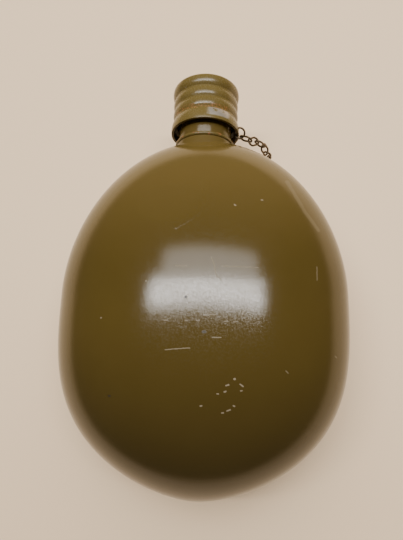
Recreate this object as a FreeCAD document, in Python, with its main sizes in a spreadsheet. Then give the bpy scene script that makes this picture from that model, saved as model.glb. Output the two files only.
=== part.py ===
import FreeCAD, Part
import math
import os
import Sketcher
from FreeCAD import Placement, Rotation, Vector

# Aluminium canteen, flattened egg shape, lying on its back. Millimetres.
# Sub-parts are drawn in the canteen's own directions: x across it, y up from the bottom end
# along the neck's axis, z towards the front, with the axis at x = z = 0. Each sub-part's
# Placement then puts it in the part's frame: origin at the middle of the flat on its back,
# +Z up from the surface that it lies on, +Y towards the cap.

DIMENSIONS = {
    # shell: its half width follows a rounded-off curve below and above the widest height
    "shell_width": 132.0,
    "shell_thickness": 75.0,
    "shell_wall": 1.2,
    "widest_height": 87.0,
    "upper_curve_height": 163.8,
    "lower_fullness": 3.2,
    "lower_roundness": 1.57,
    "upper_fullness": 1.9,
    "upper_roundness": 2.0,
    "back_flat_depth": 0.6,
    # neck, formed in the same metal, with a collar at its foot
    "collar_height": 162.1,
    "collar_radius": 14.4,
    "collar_depth": 8.0,
    "neck_radius": 13.2,
    "neck_bore_radius": 11.9,
    "mouth_height": 191.0,
    "mouth_lip": 0.5,
    "ring_seat_height": 163.1,
    "ring_seat_width": 1.8,
    "ring_seat_round": 1.9,
    # thread: a rolled ridge on the neck, and one inside the cap half a pitch away
    "thread_pitch": 3.5,
    "thread_turns": 3.0,
    "thread_depth": 1.1,
    "thread_sunk": 0.4,
    "thread_crest": 0.7,
    "thread_root": 1.6,
    "thread_start": 175.0,
    # screw cap
    "cap_radius": 16.9,
    "cap_groove_radius": 15.85,
    "cap_groove_spacing": 5.67,
    "cap_groove_width": 0.7,
    "cap_first_groove": 176.3,
    "cap_rim_height": 169.4,
    "cap_top_height": 194.7,
    "cap_crown": 0.8,
    "cap_edge_round": 1.9,
    "cap_bore_radius": 14.7,
    "cap_skirt_bore_radius": 16.0,
    "cap_skirt_depth": 4.6,
    "cap_skirt_taper": 1.0,
    "cap_skirt_flare": 0.25,
    "cap_skirt_bulge": 10.0,
    "cap_band_bulge": 5.0,
    "cap_inner_top": 192.9,
    "cap_hole_radius": 1.35,
    "cap_hole_height": 172.25,
    "cap_hole_offset": 1.5,
    # rubber gasket
    "gasket_radius": 14.4,
    "gasket_thickness": 1.8,
    # steel wire ring round the neck, with an eye for the chain
    "ring_wire": 1.8,
    "ring_radius": 13.9,
    "eye_wire": 1.4,
    "eye_radius": 2.0,
    "eye_angle": 65.0,
    # chain: bent wire links and one round ring
    "link_wire": 1.0,
    "link_length": 8.0,
    "link_width": 5.0,
    "link_joint_gap": 0.3,
    "link_slack": 0.1,
    "cap_link_radius": 2.6,
    "cap_link_reach": 17.4,
    "cap_link_height": 170.35,
    "cap_link_lean": 38.0,
}

# How each link of the chain lies, in degrees, from the cap's own link to the right of the neck,
# then from the eye of the neck ring: round the bend it hangs on, bent there, twisted, and round
# its own bend.
CAP_SIDE_RESTS = (
    (-52, 26, 56, 80),
    (-80, 30, 58, -19),
    (23, -29, -61, 7),
    (0, -9, 93, 0),
    (-1, -22, -89, -1),
    (1, 9, 90, 0),
    (0, 9, -90, 1),
)
RING_SIDE_RESTS = (
    (0, -3, 94, 0),
    (0, 5, -85, 0),
    (0, 0, 95, 0),
    (0, -49, -67, 0),
    (0, -33, 95, 0),
    (0, -9, -81, 0),
)

ALONG_NECK = Rotation(Vector(1, 0, 0), -90)
STATIONS_EACH_WAY = 10
LAST_STATION_ANGLE = 85.5


class Size:
    """A number with the expression that ties it to the dimension sheet."""

    def __init__(self, value, text):
        self.value = value
        self.text = text

    def combined(self, other, sign, value):
        text = other.text if isinstance(other, Size) else repr(float(other))
        return Size(value, f"({self.text} {sign} {text})")

    def __add__(self, other):
        return self.combined(other, "+", self.value + number(other))

    def __sub__(self, other):
        return self.combined(other, "-", self.value - number(other))

    def __mul__(self, other):
        return self.combined(other, "*", self.value * number(other))

    def __truediv__(self, other):
        return self.combined(other, "/", self.value / number(other))

    def __pow__(self, other):
        return self.combined(other, "^", self.value ** number(other))

    def __rsub__(self, other):
        return Size(other - self.value, f"({float(other)} - {self.text})")

    def __rtruediv__(self, other):
        return Size(other / self.value, f"({float(other)} / {self.text})")


def number(size):
    return size.value if isinstance(size, Size) else float(size)


def size(name):
    return Size(DIMENSIONS[name], f"Dimensions.{name}")


def bind(item, **sizes):
    """Tie properties of a document object to the sheet."""
    for prop, value in sizes.items():
        item.setExpression(prop, value.text)


def make_sheet(doc):
    sheet = doc.addObject("Spreadsheet::Sheet", "Dimensions")
    for row, (name, value) in enumerate(DIMENSIONS.items(), start=1):
        sheet.set(f"A{row}", name.replace("_", " "))
        sheet.set(f"B{row}", str(value))
        sheet.setAlias(f"B{row}", name)
    doc.recompute()


def new_body(doc, name):
    return doc.addObject("PartDesign::Body", name)


def origin_item(body, role):
    return next(item for item in body.Origin.OriginFeatures if item.Role == role)


def new_sketch(body, name, plane):
    sketch = body.newObject("Sketcher::SketchObject", name)
    sketch.AttachmentSupport = (origin_item(body, plane), [""])
    sketch.MapMode = "FlatFace"
    return sketch


def pin_point(sketch, edge, place, x, y):
    """Fix a sketch point at (x, y), tied to the sheet. A zero puts it on the axis instead."""
    for kind, value, axis in (("DistanceX", x, -2), ("DistanceY", y, -1)):
        if number(value) == 0:
            sketch.addConstraint(Sketcher.Constraint("PointOnObject", edge, place, axis))
            continue
        index = sketch.addConstraint(Sketcher.Constraint(kind, edge, place, number(value)))
        sketch.setExpression(f"Constraints[{index}]", value.text)


def arc_middle(start, end, radius, bulge):
    """The middle point of an arc between two points; bulge is +1 to the left, -1 to the right."""
    chord = end - start
    left = Vector(-chord.y, chord.x, 0).normalize()
    drop = radius - math.sqrt(radius**2 - (chord.Length / 2) ** 2)
    return (start + end) * 0.5 + left * (bulge * drop)


def draw_outline(sketch, corners):
    """Draw a closed outline. A corner is (x, y), or (x, y, radius, bulge) to leave it by an arc."""
    points = [Vector(number(c[0]), number(c[1]), 0) for c in corners]
    ends = []
    for i, corner in enumerate(corners):
        start = points[i]
        end = points[(i + 1) % len(points)]
        first, last = 1, 2
        if len(corner) == 2:
            edge = sketch.addGeometry(Part.LineSegment(start, end), False)
        else:
            middle = arc_middle(start, end, number(corner[2]), corner[3])
            if corner[3] > 0:
                start, end = end, start
                first, last = 2, 1
            edge = sketch.addGeometry(Part.Arc(start, middle, end), False)
        ends.append((edge, first, last))
    for i, corner in enumerate(corners):
        edge, first, _ = ends[i]
        before, _, last = ends[i - 1]
        sketch.addConstraint(Sketcher.Constraint("Coincident", before, last, edge, first))
        pin_point(sketch, edge, first, corner[0], corner[1])
        if len(corner) > 2:
            index = sketch.addConstraint(Sketcher.Constraint("Radius", edge, number(corner[2])))
            sketch.setExpression(f"Constraints[{index}]", corner[2].text)


def draw_circle(sketch, x, y, radius):
    centre = Vector(number(x), number(y), 0)
    circle = Part.Circle(centre, Vector(0, 0, 1), number(radius))
    edge = sketch.addGeometry(circle, False)
    pin_point(sketch, edge, 3, x, y)
    index = sketch.addConstraint(Sketcher.Constraint("Radius", edge, number(radius)))
    sketch.setExpression(f"Constraints[{index}]", radius.text)


def turn(body, name, sketch, kind="PartDesign::Revolution"):
    """Turn a sketch about its own vertical axis, the axis of the neck."""
    feature = body.newObject(kind, name)
    feature.Profile = sketch
    feature.ReferenceAxis = (sketch, ["V_Axis"])
    feature.Angle = 360
    return feature


def shell_station(share, end, reach):
    """Height, half width and half thickness of the shell at a share of the way to one end."""
    height = size("widest_height") + reach * share
    curve = 1 - Size(abs(share), repr(abs(share))) ** size(f"{end}_fullness")
    fraction = curve ** (1 / size(f"{end}_roundness"))
    return height, size("shell_width") / 2 * fraction, size("shell_thickness") / 2 * fraction


def shell_stations():
    """Stations from end to end of the shell, closer together where the shape is rounder."""
    steps = STATIONS_EACH_WAY
    last_turn = math.radians(LAST_STATION_ANGLE)
    lower_reach = size("widest_height")
    upper_reach = size("upper_curve_height") - size("widest_height")
    stations = []
    for step in range(-steps, steps + 1):
        share = math.sin(last_turn * step / steps)
        end, reach = ("lower", lower_reach) if step < 0 else ("upper", upper_reach)
        stations.append(shell_station(share, end, reach))
    return stations


def shell_form(doc, name, inset):
    """The flattened egg, lofted through ellipses and drawn in by inset all round."""
    height = size("upper_curve_height")
    rings = []
    for i, (station, half_width, half_thickness) in enumerate(shell_stations()):
        ring = doc.addObject("Part::Ellipse", f"{name}_section_{i:02d}")
        ring.Placement = Placement(Vector(), Rotation(Vector(1, 0, 0), 90))
        bind(ring, MajorRadius=half_width - inset, MinorRadius=half_thickness - inset)
        shrunk = inset + station * (height - inset * 2) / height
        ring.setExpression(".Placement.Base.y", shrunk.text)
        rings.append(ring)
    form = doc.addObject("Part::Loft", name)
    form.Sections = rings
    form.Solid = True
    return form


def helix_ridge(body, name, wall, out, start):
    """A helical ridge on a cylinder of radius wall, standing out (+1) or in (-1) from it."""
    sketch = new_sketch(body, name + "_section", "XY_Plane")
    sunk = wall - size("thread_sunk") * out
    crest = wall + size("thread_depth") * out
    half_crest = size("thread_crest") / 2
    half_root = size("thread_root") / 2
    corners = [
        (sunk, start - half_root),
        (crest, start - half_crest),
        (crest, start + half_crest),
        (sunk, start + half_root),
    ]
    draw_outline(sketch, corners if out > 0 else corners[::-1])
    ridge = body.newObject("PartDesign::AdditiveHelix", name)
    ridge.Profile = sketch
    ridge.ReferenceAxis = (sketch, ["V_Axis"])
    ridge.Mode = 1
    bind(ridge, Pitch=size("thread_pitch"), Turns=size("thread_turns"))
    ridge.LeftHanded = False


def neck_form(doc):
    """The neck, solid, with a collar at its foot, the ring's seat, a lip and the thread."""
    body = new_body(doc, "neck_form")
    sketch = new_sketch(body, "neck_outline", "XY_Plane")
    outer = size("neck_radius")
    collar = size("collar_radius")
    foot = size("collar_height") - size("collar_depth")
    seat = size("ring_seat_height")
    half = size("ring_seat_width") / 2
    lip = size("mouth_lip")
    top = size("mouth_height")
    corners = [
        (0, foot),
        (collar, foot),
        (collar, size("collar_height")),
        (outer, size("collar_height")),
        (outer, seat - half, size("ring_seat_round"), 1),
        (outer, seat + half),
        (outer, top - lip, lip, -1),
        (outer - lip, top),
        (0, top),
    ]
    draw_outline(sketch, corners)
    turn(body, "neck", sketch)
    helix_ridge(body, "neck_thread", outer, 1, size("thread_start"))
    return body


def neck_room(doc, name, radius, upper):
    """A cylinder of space along the neck, from below its root up to a height."""
    room = doc.addObject("Part::Cylinder", name)
    room.Placement = Placement(Vector(), ALONG_NECK)
    start = size("collar_height") - size("collar_depth") * 2
    bind(room, Radius=radius, Height=upper - start)
    room.setExpression(".Placement.Base.y", start.text)
    return room


def back_slab(doc, name, inset):
    """A block behind the flat on the back, its face drawn in by inset."""
    slab = doc.addObject("Part::Box", name)
    depth = size("shell_thickness")
    bind(slab, Length=size("shell_width") * 2, Width=size("mouth_height") * 2, Height=depth)
    face = size("back_flat_depth") - size("shell_thickness") / 2 + inset
    slab.setExpression(".Placement.Base.x", (0 - size("shell_width")).text)
    slab.setExpression(".Placement.Base.y", (0 - size("mouth_height") / 2).text)
    slab.setExpression(".Placement.Base.z", (face - depth).text)
    return slab


def boolean(doc, kind, name, base, tool):
    result = doc.addObject(f"Part::{kind}", name)
    result.Base = base
    result.Tool = tool
    return result


def canteen_shell(doc):
    """One drawn aluminium shell: flattened egg, neck, seat, thread, and a flat on its back."""
    wall = size("shell_wall")
    none = wall * 0
    whole = boolean(doc, "Fuse", "shell_and_neck", shell_form(doc, "outside", none), neck_form(doc))
    flat = boolean(doc, "Cut", "shell_with_flat", whole, back_slab(doc, "back_slab", none))
    room = boolean(
        doc, "Cut", "cavity", shell_form(doc, "inside", wall), back_slab(doc, "inner_slab", wall)
    )
    hollow = boolean(doc, "Cut", "hollow_shell", flat, room)
    collar_room = neck_room(
        doc, "collar_room", size("collar_radius") - wall, size("collar_height") - wall
    )
    open_collar = boolean(doc, "Cut", "open_collar", hollow, collar_room)
    bore = neck_room(doc, "neck_bore", size("neck_bore_radius"), size("mouth_height") * 2)
    shell = boolean(doc, "Cut", "open_shell", open_collar, bore)
    shell.Label = "canteen_shell"
    return shell


def screw_cap(doc):
    """Aluminium cap: crowned top, four rounded bands, skirt, thread, and a hole for the chain."""
    body = new_body(doc, "cap")
    body.Label = "screw_cap"
    sketch = new_sketch(body, "cap_outline", "XY_Plane")
    radius = size("cap_radius")
    groove = size("cap_groove_radius")
    half_groove = size("cap_groove_width") / 2
    bore = size("cap_bore_radius")
    skirt_bore = size("cap_skirt_bore_radius")
    rim = size("cap_rim_height")
    skirt_top = rim + size("cap_skirt_depth")
    inner_top = size("cap_inner_top")
    top = size("cap_top_height")
    edge = size("cap_edge_round")
    crown = size("cap_crown")
    shoulder = top - crown - edge
    flat = radius - edge
    crown_radius = (flat * flat + crown * crown) / (crown * 2)
    corners = [
        (0, inner_top),
        (bore, inner_top),
        (bore, skirt_top),
        (skirt_bore, skirt_top - size("cap_skirt_taper")),
        (skirt_bore, rim),
        (radius + size("cap_skirt_flare"), rim, size("cap_skirt_bulge"), -1),
    ]
    for i in range(3):
        height = size("cap_first_groove") + size("cap_groove_spacing") * i
        bulge = size("cap_band_bulge")
        corners.append((groove, height - half_groove))
        corners.append((groove, height + half_groove, bulge, -1))
    corners += [
        (radius, shoulder, edge, -1),
        (flat, top - crown, crown_radius, -1),
        (0, top),
    ]
    draw_outline(sketch, corners)
    turn(body, "cap_wall", sketch)
    helix_ridge(body, "cap_thread", bore, -1, size("thread_start") + size("thread_pitch") / 2)
    hole = new_sketch(body, "chain_hole_outline", "YZ_Plane")
    hole.setExpression(".AttachmentOffset.Base.z", (radius * 2).text)
    draw_circle(hole, size("cap_hole_height"), size("cap_hole_offset"), size("cap_hole_radius"))
    pocket = body.newObject("PartDesign::Pocket", "chain_hole")
    pocket.Profile = hole
    bind(pocket, Length=radius * 3 / 2)
    return body


def cap_gasket(doc):
    """Rubber disc against the inside of the cap's top."""
    body = new_body(doc, "gasket")
    body.Label = "cap_gasket"
    sketch = new_sketch(body, "gasket_outline", "XY_Plane")
    radius = size("gasket_radius")
    upper = size("cap_inner_top")
    lower = upper - size("gasket_thickness")
    draw_outline(sketch, [(0, lower), (radius, lower), (radius, upper), (0, upper)])
    turn(body, "gasket_disc", sketch)
    return body


def neck_ring(doc):
    """Steel wire ring in its seat round the neck, with a closed eye for the chain."""
    hoop = doc.addObject("Part::Torus", "ring_hoop")
    hoop.Placement = Placement(Vector(), ALONG_NECK)
    bind(hoop, Radius1=size("ring_radius"), Radius2=size("ring_wire") / 2)
    hoop.setExpression(".Placement.Base.y", size("ring_seat_height").text)
    eye = doc.addObject("Part::Torus", "ring_eye")
    eye.Placement = eye_frame()
    bind(eye, Radius1=size("eye_radius"), Radius2=size("eye_wire") / 2)
    ring = boolean(doc, "Fuse", "ring", hoop, eye)
    ring.Label = "neck_ring"
    return ring


def cap_link(doc, label):
    """The round ring of wire through the hole in the cap's skirt."""
    ring = doc.addObject("Part::Torus", label)
    ring.Label = label
    bind(ring, Radius1=size("cap_link_radius"), Radius2=size("link_wire") / 2)
    return ring


def chain_link(doc, label):
    """A link of round wire bent into an oval, its ends meeting in the middle of one side."""
    body = new_body(doc, label)
    body.Label = label
    bend = (size("link_width") - size("link_wire")) / 2
    straight = (size("link_length") - size("link_width")) / 2
    gap = size("link_joint_gap") / 2
    path = new_sketch(body, label + "_path", "XY_Plane")
    r, s, g = bend.value, straight.value, gap.value
    quarter = math.pi / 2
    right_bend = Part.Circle(Vector(s, 0, 0), Vector(0, 0, 1), r)
    left_bend = Part.Circle(Vector(-s, 0, 0), Vector(0, 0, 1), r)
    for piece in (
        Part.LineSegment(Vector(g, -r, 0), Vector(s, -r, 0)),
        Part.ArcOfCircle(right_bend, -quarter, quarter),
        Part.LineSegment(Vector(s, r, 0), Vector(-s, r, 0)),
        Part.ArcOfCircle(left_bend, quarter, 3 * quarter),
        Part.LineSegment(Vector(-s, -r, 0), Vector(-g, -r, 0)),
    ):
        path.addGeometry(piece, False)
    for edge in range(4):
        path.addConstraint(Sketcher.Constraint("Tangent", edge, 2, edge + 1, 1))
    for edge in (0, 2, 4):
        path.addConstraint(Sketcher.Constraint("Horizontal", edge))
    index = path.addConstraint(Sketcher.Constraint("Radius", 1, r))
    path.setExpression(f"Constraints[{index}]", bend.text)
    pin_point(path, 1, 3, straight, 0)
    pin_point(path, 3, 3, 0 - straight, 0)
    for edge, place, half_gap in ((0, 1, gap), (4, 2, 0 - gap)):
        index = path.addConstraint(
            Sketcher.Constraint("DistanceX", edge, place, half_gap.value)
        )
        path.setExpression(f"Constraints[{index}]", half_gap.text)
    section = new_sketch(body, label + "_section", "YZ_Plane")
    section.setExpression(".AttachmentOffset.Base.z", gap.text)
    draw_circle(section, 0 - bend, 0, size("link_wire") / 2)
    wire = body.newObject("PartDesign::AdditivePipe", label + "_wire")
    wire.Profile = section
    wire.Spine = (path, [])
    return body


def moved(x):
    return Placement(Vector(x, 0, 0), Rotation())


def turned(axis, angle):
    return Placement(Vector(), Rotation(axis, angle))


def eye_frame():
    """The eye of the neck ring: its own x points away from the neck, its z along the neck."""
    reach = DIMENSIONS["ring_radius"] + DIMENSIONS["eye_radius"]
    along = Placement(Vector(0, DIMENSIONS["ring_seat_height"], 0), ALONG_NECK)
    return along * turned(Vector(0, 0, 1), DIMENSIONS["eye_angle"]) * moved(reach)


def cap_link_frame():
    """The cap's own link: a ring in the skirt hole, leaning back from the front of the cap."""
    centre = Vector(DIMENSIONS["cap_link_reach"], DIMENSIONS["cap_link_height"], 0)
    return Placement(centre, Rotation(Vector(1, 0, 0), DIMENSIONS["cap_link_lean"]))


def hooked(frame, straight, bend, hook, rest):
    """The frame of a link hooked on the end of the piece before it, and the frame of its hinge.

    rest is in degrees: how far round the bend of the piece before it the link hangs, how far
    it is bent there, how far it is twisted, and how far round its own bend it is hooked.
    """
    round_bend, bent, twist, round_own_bend = rest
    own_bend = (DIMENSIONS["link_width"] - DIMENSIONS["link_wire"]) / 2
    own_straight = (DIMENSIONS["link_length"] - DIMENSIONS["link_width"]) / 2
    pivot = frame * moved(straight) * turned(Vector(0, 0, 1), round_bend) * moved(bend)
    swung = pivot * turned(Vector(0, 1, 0), bent) * turned(Vector(1, 0, 0), twist)
    own_end = swung * moved(own_bend - hook) * turned(Vector(0, 0, 1), round_own_bend)
    return own_end * moved(own_straight), pivot


def chain_layout():
    """Every link of the chain: its label, frame and hinge frame, in the canteen's directions.

    The loop of the chain is open between the last link of each side, behind the right shoulder.
    """
    own_bend = (DIMENSIONS["link_width"] - DIMENSIONS["link_wire"]) / 2
    own_straight = (DIMENSIONS["link_length"] - DIMENSIONS["link_width"]) / 2
    wire_hook = DIMENSIONS["link_wire"] + DIMENSIONS["link_slack"]
    eye_hook = (DIMENSIONS["link_wire"] + DIMENSIONS["eye_wire"]) / 2 + DIMENSIONS["link_slack"]
    layout = []
    sides = (
        ("cap", CAP_SIDE_RESTS, cap_link_frame(), DIMENSIONS["cap_link_radius"], wire_hook),
        ("ring", RING_SIDE_RESTS, eye_frame(), DIMENSIONS["eye_radius"], eye_hook),
    )
    for side, rests, frame, bend, hook in sides:
        straight = 0
        for i, rest in enumerate(rests, start=1):
            frame, pivot = hooked(frame, straight, bend, hook, rest)
            layout.append((f"{side}_chain_link_{i:02d}", frame, pivot))
            straight, bend, hook = own_straight, own_bend, wire_hook
    return layout


def check(doc, parts):
    """Stop if anything in the document failed, or if a part's shape isn't one valid solid."""
    for item in doc.Objects:
        if "Invalid" in item.State or "Error" in item.State:
            raise RuntimeError(f"{item.Name}: {item.getStatusString()}")
    for part in parts:
        shape = part.Shape
        if shape.isNull() or not shape.isValid() or len(shape.Solids) != 1:
            raise RuntimeError(f"{part.Label}: not one valid solid")


def main():
    doc = FreeCAD.newDocument("canteen")
    make_sheet(doc)
    floor_to_axis = DIMENSIONS["shell_thickness"] / 2 - DIMENSIONS["back_flat_depth"]
    canteen_place = Placement(Vector(0, -DIMENSIONS["widest_height"], floor_to_axis), Rotation())
    parts = []
    for make in (canteen_shell, screw_cap, cap_gasket, neck_ring):
        part = make(doc)
        doc.recompute()
        part.Placement = canteen_place * part.Placement
        parts.append(part)
    first = cap_link(doc, "cap_link")
    first.Placement = canteen_place * cap_link_frame()
    parts.append(first)
    for label, frame, _ in chain_layout():
        link = chain_link(doc, label)
        link.Placement = canteen_place * frame
        parts.append(link)
    doc.recompute()
    check(doc, parts)
    os.makedirs("parts", exist_ok=True)
    for part in parts:
        part.Shape.exportStep(f"parts/{part.Label}.step")


main()
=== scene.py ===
import math

import bpy
import numpy as np
from mathutils import Matrix, Vector


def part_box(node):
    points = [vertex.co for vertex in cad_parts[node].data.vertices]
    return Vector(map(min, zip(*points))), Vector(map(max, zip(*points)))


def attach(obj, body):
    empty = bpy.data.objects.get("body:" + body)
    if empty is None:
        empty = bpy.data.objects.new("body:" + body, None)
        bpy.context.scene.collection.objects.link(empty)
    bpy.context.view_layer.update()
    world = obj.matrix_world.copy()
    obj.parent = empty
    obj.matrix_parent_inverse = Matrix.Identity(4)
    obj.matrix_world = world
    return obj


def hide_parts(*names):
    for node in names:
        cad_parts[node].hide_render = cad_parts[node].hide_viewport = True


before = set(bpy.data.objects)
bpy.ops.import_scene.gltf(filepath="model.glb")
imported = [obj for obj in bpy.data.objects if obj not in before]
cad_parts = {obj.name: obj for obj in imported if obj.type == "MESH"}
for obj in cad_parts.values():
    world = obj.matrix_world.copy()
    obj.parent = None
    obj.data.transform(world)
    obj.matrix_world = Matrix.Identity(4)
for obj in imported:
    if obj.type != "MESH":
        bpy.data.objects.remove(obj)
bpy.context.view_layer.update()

# Places and sizes read from the frame, in metres: the canteen lies on its back, its neck along +Y.
SHELL_LOW, SHELL_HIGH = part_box("canteen_shell")
CAP_LOW, CAP_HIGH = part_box("screw_cap")
AXIS_Z = (CAP_LOW.z + CAP_HIGH.z) / 2
BOTTOM_Y = -0.087
MOUTH_Y = SHELL_HIGH.y
CAP_RIM_Y = CAP_LOW.y


# ---------------------------------------------------------------- camera, floor and light

def add_camera():
    """Close above the canteen and to its right, leaning towards the neck."""
    camera_data = bpy.data.cameras.new("camera")
    camera_data.lens = 27.47
    camera_data.sensor_width = 36.0
    camera_data.sensor_fit = "AUTO"
    camera_data.clip_start = 0.01
    camera = bpy.data.objects.new("camera", camera_data)
    bpy.context.scene.collection.objects.link(camera)
    right = Vector((0.9918, 0.0275, -0.1250))
    ahead = Vector((-0.1280, 0.2161, -0.9679))
    up = right.cross(ahead)
    turn = Matrix((right, up, -ahead)).transposed().to_4x4()
    camera.matrix_world = Matrix.Translation((0.0250, -0.0296, 0.2257)) @ turn
    bpy.context.scene.camera = camera


def add_floor():
    mesh = bpy.data.meshes.new("floor")
    half = 3.0
    corners = [(-half, -half, 0), (half, -half, 0), (half, half, 0), (-half, half, 0)]
    mesh.from_pydata(corners, [], [(0, 1, 2, 3)])
    floor = bpy.data.objects.new("floor", mesh)
    bpy.context.scene.collection.objects.link(floor)
    material = bpy.data.materials.new("pale_floor")
    material.use_nodes = True
    shader = material.node_tree.nodes["Principled BSDF"]
    shader.inputs["Base Color"].default_value = (0.92, 0.69, 0.45, 1)
    shader.inputs["Roughness"].default_value = 0.6
    mesh.materials.append(material)


def add_light(name, place, target, width, depth, power, colour, glossy=True):
    """A flat studio light that faces its target."""
    data = bpy.data.lights.new(name, "AREA")
    data.shape = "RECTANGLE"
    data.size = width
    data.size_y = depth
    data.energy = power
    data.color = colour
    light = bpy.data.objects.new(name, data)
    bpy.context.scene.collection.objects.link(light)
    light.location = place
    direction = Vector(target) - Vector(place)
    aim = direction.to_track_quat("-Z", "Y").to_matrix().to_4x4()
    light.matrix_world = Matrix.Translation(place) @ aim
    light.visible_glossy = glossy


WARM = (1.0, 0.97, 0.93)


def add_world(colour, strength):
    world = bpy.data.worlds.new("studio")
    bpy.context.scene.world = world
    world.use_nodes = True
    background = world.node_tree.nodes["Background"]
    background.inputs["Color"].default_value = (*colour, 1)
    background.inputs["Strength"].default_value = strength


# ---------------------------------------------------------------- shader building blocks

class Shader:
    """A material's node tree with short calls for the nodes that the finishes below use."""

    def __init__(self, name):
        self.material = bpy.data.materials.new(name)
        self.material.use_nodes = True
        self.tree = self.material.node_tree
        self.principled = self.tree.nodes["Principled BSDF"]
        self.place = self.add("ShaderNodeTexCoord").outputs["Object"]

    def add(self, kind, **settings):
        node = self.tree.nodes.new(kind)
        for name, value in settings.items():
            setattr(node, name, value)
        return node

    def link(self, source, socket):
        if isinstance(source, bpy.types.NodeSocket):
            self.tree.links.new(source, socket)
        else:
            socket.default_value = source

    def math(self, operation, first, second=0.0, clamp=False):
        node = self.add("ShaderNodeMath", operation=operation, use_clamp=clamp)
        self.link(first, node.inputs[0])
        self.link(second, node.inputs[1])
        return node.outputs[0]

    def noise(self, scale, detail, roughness):
        node = self.add("ShaderNodeTexNoise")
        node.inputs["Scale"].default_value = scale
        node.inputs["Detail"].default_value = detail
        node.inputs["Roughness"].default_value = roughness
        self.link(self.place, node.inputs["Vector"])
        return node.outputs["Fac"]

    def steps(self, value, low, high):
        """0 below low, 1 above high, smooth between; high below low turns it round."""
        node = self.add("ShaderNodeMapRange", interpolation_type="SMOOTHSTEP")
        self.link(value, node.inputs["Value"])
        if high > low:
            ends = (low, high, 0.0, 1.0)
        else:
            ends = (high, low, 1.0, 0.0)
        for name, end in zip(("From Min", "From Max", "To Min", "To Max"), ends):
            node.inputs[name].default_value = end
        return node.outputs["Result"]

    def mix(self, factor, first, second):
        node = self.add("ShaderNodeMix", data_type="RGBA")
        self.link(factor, node.inputs[0])
        for value, socket in ((first, node.inputs[6]), (second, node.inputs[7])):
            if not isinstance(value, bpy.types.NodeSocket):
                value = (*value, 1.0)
            self.link(value, socket)
        return node.outputs[2]

    def blend(self, factor, first, second):
        node = self.add("ShaderNodeMix", data_type="FLOAT")
        self.link(factor, node.inputs[0])
        self.link(first, node.inputs[2])
        self.link(second, node.inputs[3])
        return node.outputs[0]

    def axes(self):
        node = self.add("ShaderNodeSeparateXYZ")
        self.link(self.place, node.inputs[0])
        return node.outputs

    def vector(self, operation, first, second=None, scale=None):
        node = self.add("ShaderNodeVectorMath", operation=operation)
        self.link(first, node.inputs[0])
        if second is not None:
            self.link(second, node.inputs[1])
        if scale is not None:
            self.link(scale, node.inputs["Scale"])
        return node.outputs["Value" if operation in ("DOT_PRODUCT", "LENGTH") else "Vector"]

    def plan(self, wander):
        """The place seen from the front, in millimetres, with wandering edges."""
        flat = self.vector("MULTIPLY", self.place, (1000.0, 1000.0, 0.0))
        node = self.add("ShaderNodeTexNoise")
        node.inputs["Scale"].default_value = 700.0
        node.inputs["Detail"].default_value = 2.0
        self.link(self.place, node.inputs["Vector"])
        shift = self.vector("SUBTRACT", node.outputs["Color"], (0.5, 0.5, 0.5))
        shift = self.vector("MULTIPLY", shift, (wander, wander, 0.0))
        return self.vector("ADD", flat, shift)

    def strokes(self, plan, paths, width):
        """1 on straight strokes through the points of each path, 0 beyond their width."""
        total = None
        for path in paths:
            for start, end in zip(path, path[1:]):
                run = (end[0] - start[0], end[1] - start[1], 0.0)
                square = max(run[0] ** 2 + run[1] ** 2, 1e-6)
                away = self.vector("SUBTRACT", plan, (*start, 0.0))
                along = self.vector("DOT_PRODUCT", away, tuple(c / square for c in run))
                along = self.math("MINIMUM", self.math("MAXIMUM", along, 0.0), 1.0)
                nearest = self.vector("SCALE", run, scale=along)
                distance = self.vector("LENGTH", self.vector("SUBTRACT", away, nearest))
                mark = self.steps(distance, width, width * 0.4)
                total = mark if total is None else self.math("MAXIMUM", total, mark)
        return total

    def bump(self, height, strength, distance, normal=None):
        node = self.add("ShaderNodeBump")
        node.inputs["Strength"].default_value = strength
        node.inputs["Distance"].default_value = distance
        self.link(height, node.inputs["Height"])
        if normal is not None:
            self.link(normal, node.inputs["Normal"])
        return node.outputs["Normal"]

    def finish(self, colour, roughness, metallic=0.0, normal=None):
        self.link(colour, self.principled.inputs["Base Color"])
        self.link(roughness, self.principled.inputs["Roughness"])
        self.link(metallic, self.principled.inputs["Metallic"])
        if normal is not None:
            self.link(normal, self.principled.inputs["Normal"])
        return self.material


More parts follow.
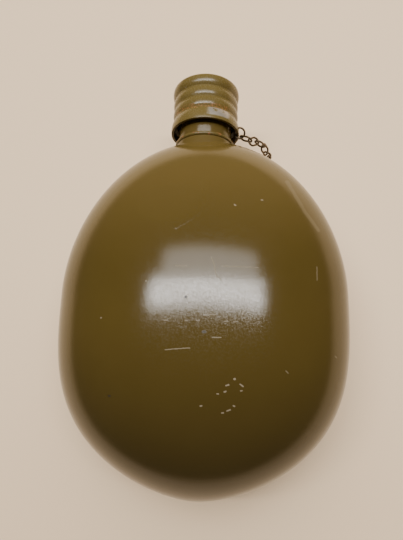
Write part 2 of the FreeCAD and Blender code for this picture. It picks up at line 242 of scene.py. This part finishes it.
# Marks on the front of the body: points in millimetres across and along it.
SCRATCHES = (
    ((-5.3, 6.0), (-0.7, 5.8)), ((12.7, 5.9), (26.3, 5.8)),
    ((8.4, 9.5), (9.6, 7.1), (10.5, 2.4), (12.4, 0.5)),
    ((6.4, -12.7), (10.8, -12.6)), ((-8.6, -15.0), (-7.4, -15.0)), ((-0.8, -15.1), (0.3, -15.0)),
    ((3.7, -14.9), (4.8, -15.0)), ((14.0, -15.0), (15.1, -15.1)), ((17.3, -15.0), (18.5, -15.0)),
    ((21.1, -10.9), (20.5, -12.4)), ((9.5, -21.0), (12.8, -20.9)), ((-7.9, -25.8), (1.5, -24.9)),
    ((49.6, 8.4), (49.4, 3.0)), ((36.4, -32.2), (37.2, -33.0)), ((56.3, -26.2), (57.0, -26.8)),
)
RUBBED = (((39.0, 47.6), (46.0, 32.8), (51.3, 25.3)),)
CHIPS = (
    ((11.4, -40.9), (12.0, -40.9)), ((14.2, -40.1), (14.6, -39.9)), ((14.7, -37.9), (15.8, -37.7)),
    ((17.6, -35.6), (18.0, -35.4)), ((19.8, -37.4), (20.8, -38.0)), ((20.0, -39.7), (20.4, -39.5)),
    ((13.3, -47.5), (13.7, -47.5)), ((15.1, -46.8), (16.2, -46.4)), ((17.4, -45.0), (17.8, -45.0)),
    ((5.6, -45.3), (6.0, -45.3)), ((-16.8, 0.1), (-16.5, 0.1)), ((-35.5, -13.9), (-35.2, -13.9)),
    ((22.8, -10.5), (23.1, -10.5)), ((17.0, 32.3), (17.5, 32.1)), ((27.8, 35.5), (28.3, 35.5)),
)
DARK_SPOTS = (
    ((6.2, -19.0), (6.8, -19.0)), ((-0.7, -6.2), (-0.5, -6.2)), ((-30.4, -43.5), (-29.9, -43.5)),
)
CREASE = (
    ((5.0, 42.3), (6.2, 35.7), (4.4, 31.9), (0.6, 26.9), (-6.0, 22.6)),
)


def body_enamel():
    """Glossy olive-drab enamel, finely pitted and marked, with painted shade darkening its lower end
    and painted light brightening its shoulder.
    """
    shader = Shader("body_enamel")
    large = shader.noise(22.0, 5.0, 0.6)
    colour = shader.mix(large, (0.062, 0.040, 0.0075), (0.082, 0.055, 0.0120))
    # Painted shade: the colour darkens towards the bottom end, standing in for the shade that falls
    # there.
    painted_foot_shade = shader.math("MULTIPLY", shader.steps(shader.axes()[1], -0.010, -0.085), 0.55)
    colour = shader.mix(painted_foot_shade, colour, (0.020, 0.013, 0.004))
    # Painted light: the colour brightens towards the neck, standing in for the light falling on the
    # upper body.
    shoulder = shader.math("MULTIPLY", shader.steps(shader.axes()[1], 0.005, 0.060), 0.40)
    colour = shader.mix(shoulder, colour, (0.150, 0.100, 0.028))
    grain = shader.noise(2300.0, 3.0, 0.65)
    haze = shader.noise(1500.0, 4.0, 0.7)
    roughness = shader.blend(shader.steps(haze, 0.40, 0.64), 0.08, 0.21)
    pits = shader.steps(shader.noise(1250.0, 3.0, 0.75), 0.30, 0.22)
    colour = shader.mix(shader.math("MULTIPLY", pits, 0.6), colour, (0.030, 0.021, 0.007))
    roughness = shader.blend(pits, roughness, 0.6)
    normal = shader.bump(grain, 0.16, 0.00012)
    plan = shader.plan(0.9)
    fine = shader.plan(0.5)
    front = shader.steps(shader.axes()[2], AXIS_Z, AXIS_Z + 0.004)
    scratch = shader.math("MULTIPLY", shader.strokes(fine, SCRATCHES, 0.26), front)
    rubbed = shader.math("MULTIPLY", shader.strokes(plan, RUBBED, 1.3), front)
    chip = shader.math("MULTIPLY", shader.strokes(plan, CHIPS, 0.38), front)
    dark = shader.math("MULTIPLY", shader.strokes(plan, DARK_SPOTS, 0.70), front)
    crease = shader.strokes(fine, CREASE, 1.6)
    colour = shader.mix(shader.math("MULTIPLY", scratch, 0.45), colour, (0.26, 0.21, 0.13))
    colour = shader.mix(shader.math("MULTIPLY", rubbed, 0.16), colour, (0.30, 0.24, 0.15))
    colour = shader.mix(shader.math("MULTIPLY", chip, 0.60), colour, (0.32, 0.26, 0.18))
    colour = shader.mix(shader.math("MULTIPLY", dark, 0.8), colour, (0.020, 0.015, 0.008))
    worn = shader.math("MAXIMUM", shader.math("MAXIMUM", scratch, chip), dark)
    roughness = shader.blend(worn, roughness, 0.5)
    normal = shader.bump(crease, 0.30, 0.0002, normal)
    return shader.finish(colour, roughness, 0.0, normal)


def cap_enamel():
    """The same enamel, worn to bare aluminium on the last band and speckled with rust."""
    shader = Shader("cap_enamel")
    x, y, z = shader.axes()
    large = shader.noise(60.0, 4.0, 0.6)
    colour = shader.mix(large, (0.105, 0.073, 0.018), (0.150, 0.108, 0.032))
    edges = shader.noise(420.0, 4.0, 0.7)
    front = shader.steps(z, AXIS_Z + 0.006, AXIS_Z + 0.010)
    band = shader.math("MULTIPLY", shader.steps(y, CAP_RIM_Y + 0.0012, CAP_RIM_Y + 0.0022),
                       shader.steps(y, CAP_RIM_Y + 0.0066, CAP_RIM_Y + 0.0056))
    patch = shader.math("MULTIPLY", shader.steps(x, 0.0020, 0.0050),
                        shader.steps(x, 0.0135, 0.0115))
    patch = shader.math("MULTIPLY", shader.math("MULTIPLY", patch, band), front)
    bare = shader.math("MULTIPLY", patch, shader.steps(edges, 0.36, 0.50))
    scuffs = shader.steps(shader.noise(520.0, 5.0, 0.75), 0.66, 0.70)
    bare = shader.math("MAXIMUM", bare, shader.math("MULTIPLY", scuffs, 0.6))
    line = shader.math("MULTIPLY", shader.steps(y, CAP_RIM_Y + 0.0055, CAP_RIM_Y + 0.0065),
                       shader.steps(y, CAP_RIM_Y + 0.0090, CAP_RIM_Y + 0.0080))
    speckle = shader.math("MULTIPLY", shader.steps(shader.noise(1500.0, 3.0, 0.7), 0.54, 0.60), line)
    speckle = shader.math("MULTIPLY", speckle, front)
    colour = shader.mix(speckle, colour, (0.30, 0.12, 0.035))
    colour = shader.mix(bare, colour, (0.52, 0.46, 0.38))
    grain = shader.noise(2300.0, 3.0, 0.65)
    haze = shader.noise(1500.0, 4.0, 0.7)
    roughness = shader.blend(shader.steps(haze, 0.38, 0.62), 0.14, 0.32)
    roughness = shader.blend(bare, roughness, 0.42)
    normal = shader.bump(grain, 0.20, 0.00012)
    return shader.finish(colour, roughness, shader.math("MULTIPLY", bare, 0.75), normal)


def ring_enamel():
    """Wire enamelled over with the neck, rusting through in spots."""
    shader = Shader("ring_steel")
    rust = shader.steps(shader.noise(480.0, 4.0, 0.7), 0.55, 0.64)
    colour = shader.mix(rust, (0.115, 0.082, 0.022), (0.26, 0.085, 0.022))
    return shader.finish(colour, shader.blend(rust, 0.25, 0.75), 0.0)


def metal(name, colour, roughness):
    shader = Shader(name)
    blotch = shader.noise(900.0, 3.0, 0.6)
    tint = shader.mix(blotch, colour, tuple(c * 0.6 for c in colour))
    return shader.finish(tint, roughness, 0.6)


def rubber():
    shader = Shader("gasket_rubber")
    return shader.finish((0.02, 0.018, 0.016, 1.0), 0.7)


# ---------------------------------------------------------------- shapes

SHELL_WIDTH = SHELL_HIGH.x - SHELL_LOW.x
SHELL_THICKNESS = 0.0750
WALL = 0.0012
SHOULDER_Y = BOTTOM_Y + 0.1621
COLLAR_RADIUS = 0.0144
COLLAR_DEPTH = 0.0085
UPPER_CURVE = 0.0768
LOWER_CURVE = -BOTTOM_Y
NECK_RADIUS = 0.0132
BORE_RADIUS = 0.0119
SEAT_Y = BOTTOM_Y + 0.1631
THREAD_Y = BOTTOM_Y + 0.1750
THREAD_PITCH = 0.0035
THREAD_TURNS = 3
THREAD_DEPTH = 0.0011
DENT = (-0.0094, 0.0338)
DENT_REACH = (0.0150, 0.0090)
DENT_DEPTH = 0.0005
AROUND = 360
TURNS = np.linspace(0, 2 * math.pi, AROUND, endpoint=False)


def shell_section(y):
    """Half width and half thickness of the drawn shell at y."""
    if y < 0:
        share, fullness, roundness = min(1.0, y / -LOWER_CURVE), 3.2, 1.57
    else:
        share, fullness, roundness = min(1.0, y / UPPER_CURVE), 1.9, 2.0
    fraction = (1 - share**fullness) ** (1 / roundness)
    return SHELL_WIDTH / 2 * fraction, SHELL_THICKNESS / 2 * fraction


def mesh_from_rows(name, rows):
    """A closed skin through rows of points; the first and last rows shrink to their middles."""
    count = len(rows[0])
    points = [tuple(p) for row in rows for p in row]
    faces = []
    for r in range(len(rows) - 1):
        for i in range(count):
            j = (i + 1) % count
            faces.append((r * count + i, r * count + j, (r + 1) * count + j, (r + 1) * count + i))
    for first, order in ((0, -1), (len(rows) - 1, 1)):
        middle = len(points)
        points.append(tuple(np.mean(rows[first], axis=0)))
        for i in range(count):
            j = (i + 1) % count
            triangle = (first * count + i, first * count + j, middle)
            faces.append(triangle[::order])
    mesh = bpy.data.meshes.new(name)
    mesh.from_pydata(points, [], faces)
    mesh.validate()
    mesh.shade_smooth()
    piece = bpy.data.objects.new(name, mesh)
    bpy.context.scene.collection.objects.link(piece)
    return piece


def row(y, radii, floor_z=0.0):
    """A closed row of points round the neck's axis at y, flattened where it meets the back."""
    y = max(y, SHELL_LOW.y)
    x = radii * np.cos(TURNS)
    z = np.maximum(AXIS_Z + radii * np.sin(TURNS), floor_z)
    return np.stack([x, np.full(AROUND, y), z], axis=1)


def oval(half_width, half_thickness):
    """Radii of an ellipse at each turn."""
    return 1 / np.hypot(np.cos(TURNS) / half_width, np.sin(TURNS) / half_thickness)


def thread_radii(y):
    """Radii of the neck with its rolled thread, which climbs clockwise seen from the mouth."""
    turns_up = (-TURNS / (2 * math.pi)) % 1.0
    nearest = np.full(AROUND, 1.0)
    for k in range(THREAD_TURNS):
        nearest = np.minimum(nearest, np.abs(y - THREAD_Y - THREAD_PITCH * (turns_up + k)))
    crest = np.clip((0.0008 - nearest) / 0.00045, 0.0, 1.0)
    return NECK_RADIUS + THREAD_DEPTH * crest * crest * (3 - 2 * crest)


def dented(points):
    """Press in a shallow dent on the front of the shoulder."""
    across = (points[:, 0] - DENT[0]) / DENT_REACH[0]
    along = (points[:, 1] - DENT[1]) / DENT_REACH[1]
    fall = np.clip(1 - across**2 - along**2, 0.0, 1.0)
    points[:, 2] -= np.where(points[:, 2] > AXIS_Z, DENT_DEPTH * fall**1.2, 0.0)
    return points


def outer_rows():
    rows = []
    for share in np.sin(np.linspace(math.radians(89.0), 0, 100)):
        y = -LOWER_CURVE * share
        rows.append(row(y, oval(*shell_section(y))))
    collar_start = SHOULDER_Y - COLLAR_DEPTH
    for share in np.sin(np.linspace(0, math.asin(collar_start / UPPER_CURVE), 120))[1:]:
        y = UPPER_CURVE * share
        rows.append(dented(row(y, oval(*shell_section(y)))))
    for y in np.linspace(collar_start, SHOULDER_Y - 0.0003, 34)[1:]:
        rows.append(row(y, np.maximum(oval(*shell_section(y)), COLLAR_RADIUS)))
    rows.append(row(SHOULDER_Y, np.full(AROUND, COLLAR_RADIUS - 0.0003)))
    return rows


def neck_rows():
    rows = []
    even = np.ones(AROUND)
    for y in np.linspace(SHOULDER_Y, SEAT_Y + 0.0010, 9):
        hollow = 0.00023 * max(0.0, 1 - ((y - SEAT_Y) / 0.0009) ** 2)
        rows.append(row(y, even * (NECK_RADIUS - hollow)))
    thread_end = THREAD_Y + THREAD_PITCH * THREAD_TURNS
    for y in np.arange(THREAD_Y - 0.001, thread_end + 0.001, 0.0002):
        rows.append(row(y, thread_radii(y)))
    for y, radius in ((MOUTH_Y - 0.0005, NECK_RADIUS), (MOUTH_Y, NECK_RADIUS - 0.0005),
                      (MOUTH_Y, BORE_RADIUS + 0.0002), (MOUTH_Y - 0.0002, BORE_RADIUS),
                      (SHOULDER_Y - 0.0030, BORE_RADIUS)):
        rows.append(row(y, even * radius))
    return rows


def inner_rows():
    rows = []
    top = (SHOULDER_Y - 0.0030) / (UPPER_CURVE - WALL)
    for share in np.sin(np.linspace(math.asin(top), 0, 60)):
        half_width, half_thickness = shell_section(UPPER_CURVE * share)
        room = oval(half_width - WALL, half_thickness - WALL)
        rows.append(row((UPPER_CURVE - WALL) * share, np.maximum(room, BORE_RADIUS), WALL))
    for share in np.sin(np.linspace(0, math.radians(86.0), 50))[1:]:
        half_width, half_thickness = shell_section(-LOWER_CURVE * share)
        room = oval(half_width - WALL, half_thickness - WALL)
        rows.append(row(-(LOWER_CURVE - WALL) * share, room, WALL))
    return rows


def add_body():
    body = mesh_from_rows("canteen_body", outer_rows() + neck_rows() + inner_rows())
    body.data.materials.append(body_enamel())
    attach(body, "bottle")
    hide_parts("canteen_shell")


add_camera()
add_floor()
add_light("window", (0.03, 0.225, 1.0), (0.03, 0.225, 0.0), 1.10, 0.11, 2.4, WARM)
add_light("window_top", (0.05, 0.385, 1.0), (0.05, 0.385, 0.0), 0.95, 0.21, 3.0, WARM)
add_light("sill", (0.02, 0.150, 1.0), (0.02, 0.150, 0.0), 1.16, 0.04, 7.5, WARM)
add_light("room", (0.0, 1.7, 1.3), (0.0, 0.0, 0.0), 3.4, 2.8, 60.0, WARM, glossy=False)
add_world((1.0, 0.95, 0.88), 0.08)
add_body()
for node, material in (
    ("screw_cap", cap_enamel()),
    ("cap_gasket", rubber()),
    ("neck_ring", ring_enamel()),
):
    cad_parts[node].data.materials.clear()
    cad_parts[node].data.materials.append(material)
chain_steel = metal("chain_steel", (0.13, 0.088, 0.045), 0.42)
for name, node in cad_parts.items():
    if "link" in name:
        node.data.materials.clear()
        node.data.materials.append(chain_steel)
